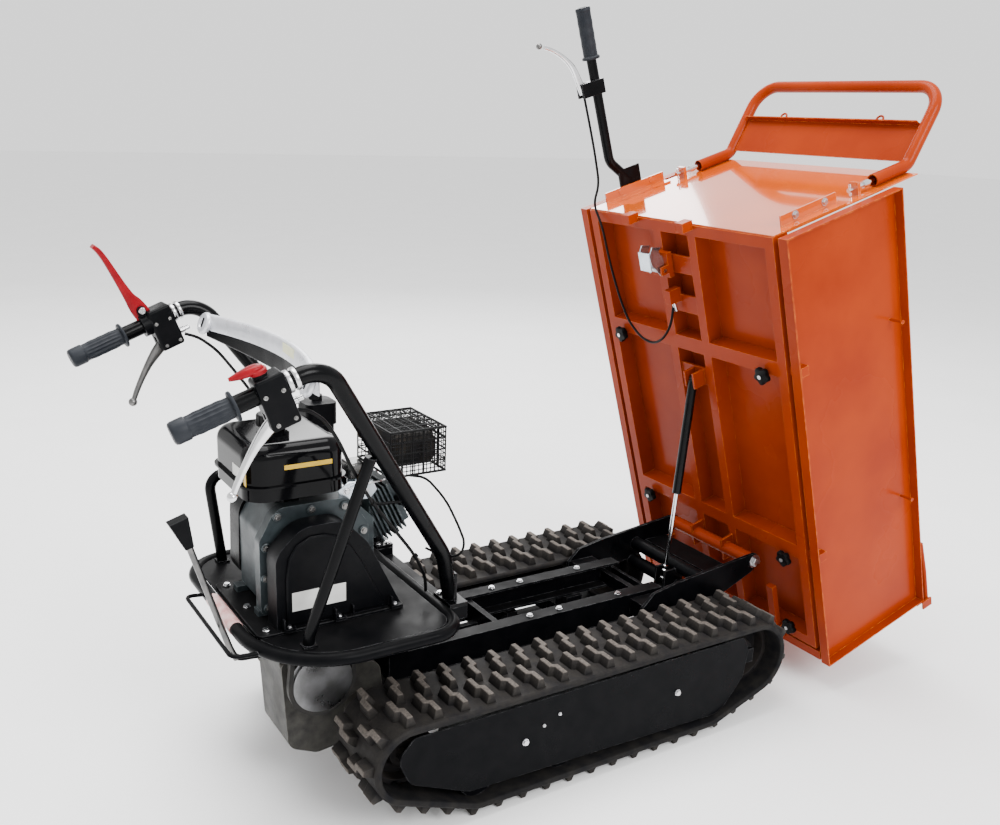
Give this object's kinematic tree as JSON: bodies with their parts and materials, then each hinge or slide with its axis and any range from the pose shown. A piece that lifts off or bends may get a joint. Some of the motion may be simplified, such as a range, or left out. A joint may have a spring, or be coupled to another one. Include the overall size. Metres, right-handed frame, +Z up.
{
  "type": "tracked mini dumper",
  "caption": "Walk-behind tracked dumper: engine on a tube-rimmed deck, bent tube handles, rubber tracks and a tipping tray with sliding side panels and a gas strut.",
  "frame": {"origin": "on the ground under the middle of the machine's length and width with the tray tipped, 515 mm behind the tray's tipping axis", "axes": "+X forward towards the tray, +Y to the operator's left, +Z up"},
  "size_m": [1.9434, 0.728, 1.5947],
  "materials": {
    "track_rubber": "moulded, dusty",
    "wheel_iron": "painted black, worn",
    "frame_black": "satin black paint",
    "handle_black": "gloss black powder coat",
    "tray_orange": "gloss orange powder coat",
    "engine_cast": "cast, painted teal grey",
    "gearbox_cast": "rough cast, dusty",
    "tank_black": "gloss black enamel",
    "cap_black": "moulded black",
    "cowl_black": "satin black enamel",
    "plastic_black": "moulded black",
    "muffler_steel": "heat-resistant dark grey",
    "guard_wire": "black enamel",
    "pulley_steel": "machined",
    "belt_rubber": "fabric-backed",
    "grip_rubber": "ribbed",
    "console_silver": "silver enamel",
    "lever_steel": "bright",
    "lever_red": "red coated",
    "cable_black": "sheathed",
    "bolt_zinc": "zinc plated",
    "knob_black": "moulded",
    "latch_zinc": "blue zinc plated",
    "strut_black": "satin black",
    "strut_chrome": "polished"
  },
  "bodies": {
    "chassis": {"air_cleaner": "plastic_black", "belt_cover": "plastic_black", "chassis_rails": "frame_black", "console_panel": "console_silver", "control_cables": "cable_black", "control_housings": "plastic_black", "crankcase": "engine_cast", "cylinder": "engine_cast", "drive_belt": "belt_rubber", "engine_base": "frame_black", "engine_deck": "frame_black", "fan_housing": "cowl_black", "fasteners": "bolt_zinc", "fuel_tank": "tank_black", "gearbox": "gearbox_cast", "grips": "grip_rubber", "handle_frame": "handle_black", "muffler": "muffler_steel", "muffler_guard": "guard_wire", "pivot_plates": "frame_black", "side_covers": "frame_black", "track_belt_left": "track_rubber", "track_belt_right": "track_rubber", "track_frames": "frame_black"},
    "tray": {"tray_frame": "tray_orange", "tray_floor": "tray_orange", "rear_wall": "tray_orange", "hoop_bar": "tray_orange", "load_guard": "tray_orange", "tip_handle": "handle_black", "tray_cable": "cable_black"},
    "sprocket_left": {"sprocket_left": "wheel_iron"},
    "sprocket_right": {"sprocket_right": "wheel_iron"},
    "idler_left": {"idler_left": "wheel_iron"},
    "idler_right": {"idler_right": "wheel_iron"},
    "engine_pulley": {"engine_pulley": "pulley_steel"},
    "gearbox_pulley": {"gearbox_pulley": "pulley_steel"},
    "fuel_cap": {"fuel_cap": "cap_black"},
    "starter_grip": {"starter_grip": "cap_black"},
    "steering_lever_left": {"steering_lever_left": "lever_steel"},
    "steering_lever_right": {"steering_lever_right": "lever_steel"},
    "drive_lever": {"drive_lever": "lever_red"},
    "throttle_lever": {"throttle_lever": "lever_red"},
    "gear_lever": {"gear_lever": "plastic_black"},
    "side_panel_left": {"side_panel_left": "tray_orange"},
    "side_panel_right": {"side_panel_right": "tray_orange"},
    "front_panel": {"front_panel": "tray_orange"},
    "knob_rear_left": {"knob_rear_left": "knob_black"},
    "knob_rear_right": {"knob_rear_right": "knob_black"},
    "knob_front_left": {"knob_front_left": "knob_black"},
    "knob_front_right": {"knob_front_right": "knob_black"},
    "knob_end_left": {"knob_end_left": "knob_black"},
    "knob_end_right": {"knob_end_right": "knob_black"},
    "latch_hook": {"latch_hook": "latch_zinc"},
    "spring_bolts": {"spring_bolts": "lever_steel"},
    "tip_lever": {"tip_lever": "lever_steel"},
    "corner_latch_left": {"corner_latch_left": "tray_orange"},
    "corner_latch_right": {"corner_latch_right": "tray_orange"},
    "strut_rod": {"strut_rod": "strut_chrome"},
    "strut_cylinder": {"strut_cylinder": "strut_black"}
  },
  "joints": [
    {"name": "tray_tip", "type": "hinge", "parent": "chassis", "child": "tray", "pos_m": [0.51492, 0, 0.30057], "axis": [0, 1, 0], "range_deg": [-73.12, 0]},
    {"name": "strut_swing", "type": "hinge", "parent": "chassis", "child": "strut_rod", "pos_m": [0.34792, -0.015, 0.23257], "axis": [0, 1, 0], "range_deg": [-80.51, 0]},
    {"name": "strut_extend", "type": "slide", "parent": "strut_rod", "child": "strut_cylinder", "axis": [0.0746, 0, 0.9972], "range_m": [-0.2102, 0]},
    {"name": "sprocket_spin_left", "type": "hinge", "parent": "chassis", "child": "sprocket_left", "pos_m": [-0.53208, 0.258, 0.16557], "axis": [0, 1, 0], "continuous": true},
    {"name": "sprocket_spin_right", "type": "hinge", "parent": "chassis", "child": "sprocket_right", "pos_m": [-0.53208, -0.258, 0.16557], "axis": [0, 1, 0], "continuous": true},
    {"name": "idler_spin_left", "type": "hinge", "parent": "chassis", "child": "idler_left", "pos_m": [0.35392, 0.258, 0.15757], "axis": [0, 1, 0], "continuous": true},
    {"name": "idler_spin_right", "type": "hinge", "parent": "chassis", "child": "idler_right", "pos_m": [0.35392, -0.258, 0.15757], "axis": [0, 1, 0], "continuous": true},
    {"name": "engine_pulley_spin", "type": "hinge", "parent": "chassis", "child": "engine_pulley", "pos_m": [-0.62608, -0.127, 0.50557], "axis": [0, 1, 0], "continuous": true},
    {"name": "gearbox_pulley_spin", "type": "hinge", "parent": "chassis", "child": "gearbox_pulley", "pos_m": [-0.62608, -0.127, 0.26257], "axis": [0, 1, 0], "continuous": true},
    {"name": "fuel_cap_turn", "type": "hinge", "parent": "chassis", "child": "fuel_cap", "pos_m": [-0.66608, 0, 0.79057], "axis": [0, 0, 1], "range_deg": [0, 90]},
    {"name": "starter_pull", "type": "slide", "parent": "chassis", "child": "starter_grip", "axis": [0, 1, 0], "range_m": [0, 0.5]},
    {"name": "steering_lever_squeeze_left", "type": "hinge", "parent": "chassis", "child": "steering_lever_left", "pos_m": [-0.77468, 0.32553, 0.86793], "axis": [-0.0614, 0.9981, 0], "range_deg": [0, 22]},
    {"name": "steering_lever_squeeze_right", "type": "hinge", "parent": "chassis", "child": "steering_lever_right", "pos_m": [-0.77507, -0.32465, 0.86965], "axis": [0.066, 0.9978, 0], "range_deg": [0, 22]},
    {"name": "drive_lever_swing", "type": "hinge", "parent": "chassis", "child": "drive_lever", "pos_m": [-0.82259, 0.32258, 0.93588], "axis": [-0.0614, 0.9981, 0], "range_deg": [-65, 0]},
    {"name": "throttle_turn", "type": "hinge", "parent": "chassis", "child": "throttle_lever", "pos_m": [-0.80271, -0.32282, 0.94513], "axis": [-0.3437, 0.0227, 0.9388], "range_deg": [0, 60]},
    {"name": "gear_lever_swing", "type": "hinge", "parent": "chassis", "child": "gear_lever", "pos_m": [-0.73108, -0.075, 0.32257], "axis": [1, 0, 0], "range_deg": [-15, 15]},
    {"name": "side_panel_slide_left", "type": "slide", "parent": "tray", "child": "side_panel_left", "axis": [0, 1, 0], "range_m": [0, 0.11]},
    {"name": "side_panel_slide_right", "type": "slide", "parent": "tray", "child": "side_panel_right", "axis": [0, -1, 0], "range_m": [0, 0.11]},
    {"name": "front_panel_slide", "type": "slide", "parent": "tray", "child": "front_panel", "axis": [0.2904, 0, -0.9569], "range_m": [0, 0.06]},
    {"name": "latch_hook_swing", "type": "hinge", "parent": "tray", "child": "latch_hook", "pos_m": [0.29814, 0.048, 1.00811], "axis": [0, 1, 0], "range_deg": [-20, 0]},
    {"name": "tip_lever_squeeze", "type": "hinge", "parent": "tray", "child": "tip_lever", "pos_m": [0.24967, 0.318, 1.40201], "axis": [0, 1, 0], "range_deg": [0, 22]},
    {"name": "knob_turn_rear_left", "type": "hinge", "parent": "tray", "child": "knob_rear_left", "pos_m": [0.3706, 0.25, 0.81064], "axis": [0.9569, 0, 0.2904], "range_deg": [0, 360]},
    {"name": "knob_turn_rear_right", "type": "hinge", "parent": "tray", "child": "knob_rear_right", "pos_m": [0.3706, -0.25, 0.81064], "axis": [0.9569, 0, 0.2904], "range_deg": [0, 360]},
    {"name": "knob_turn_front_left", "type": "hinge", "parent": "tray", "child": "knob_front_left", "pos_m": [0.51172, 0.25, 0.34558], "axis": [0.9569, 0, 0.2904], "range_deg": [0, 360]},
    {"name": "knob_turn_front_right", "type": "hinge", "parent": "tray", "child": "knob_front_right", "pos_m": [0.51172, -0.25, 0.34558], "axis": [0.9569, 0, 0.2904], "range_deg": [0, 360]},
    {"name": "knob_turn_end_left", "type": "hinge", "parent": "tray", "child": "knob_end_left", "pos_m": [0.5724, 0.24, 0.14559], "axis": [0.9569, 0, 0.2904], "range_deg": [0, 360]},
    {"name": "knob_turn_end_right", "type": "hinge", "parent": "tray", "child": "knob_end_right", "pos_m": [0.5724, -0.24, 0.14559], "axis": [0.9569, 0, 0.2904], "range_deg": [0, 360]},
    {"name": "spring_bolts_pull", "type": "slide", "parent": "tray", "child": "spring_bolts", "axis": [-0.9569, 0, -0.2904], "range_m": [0, 0.014]},
    {"name": "corner_latch_swing_left", "type": "hinge", "parent": "side_panel_left", "child": "corner_latch_left", "pos_m": [0.96167, 0.343, 0.17488], "axis": [0, 1, 0], "range_deg": [0, 90]},
    {"name": "corner_latch_swing_right", "type": "hinge", "parent": "side_panel_right", "child": "corner_latch_right", "pos_m": [0.96167, -0.343, 0.17488], "axis": [0, 1, 0], "range_deg": [0, 90]}
  ],
  "couplings": [
    {"joint": "strut_swing", "follows": "tray_tip", "ratio": 1.0956},
    {"joint": "strut_extend", "follows": "tray_tip", "m_per_rad": 0.1639},
    {"joint": "idler_spin_left", "follows": "sprocket_spin_left", "ratio": 0.90361},
    {"joint": "idler_spin_right", "follows": "sprocket_spin_right", "ratio": 0.90361},
    {"joint": "gearbox_pulley_spin", "follows": "engine_pulley_spin", "ratio": 0.6391},
    {"joint": "latch_hook_swing", "follows": "tip_lever_squeeze", "ratio": -0.90909}
  ]
}
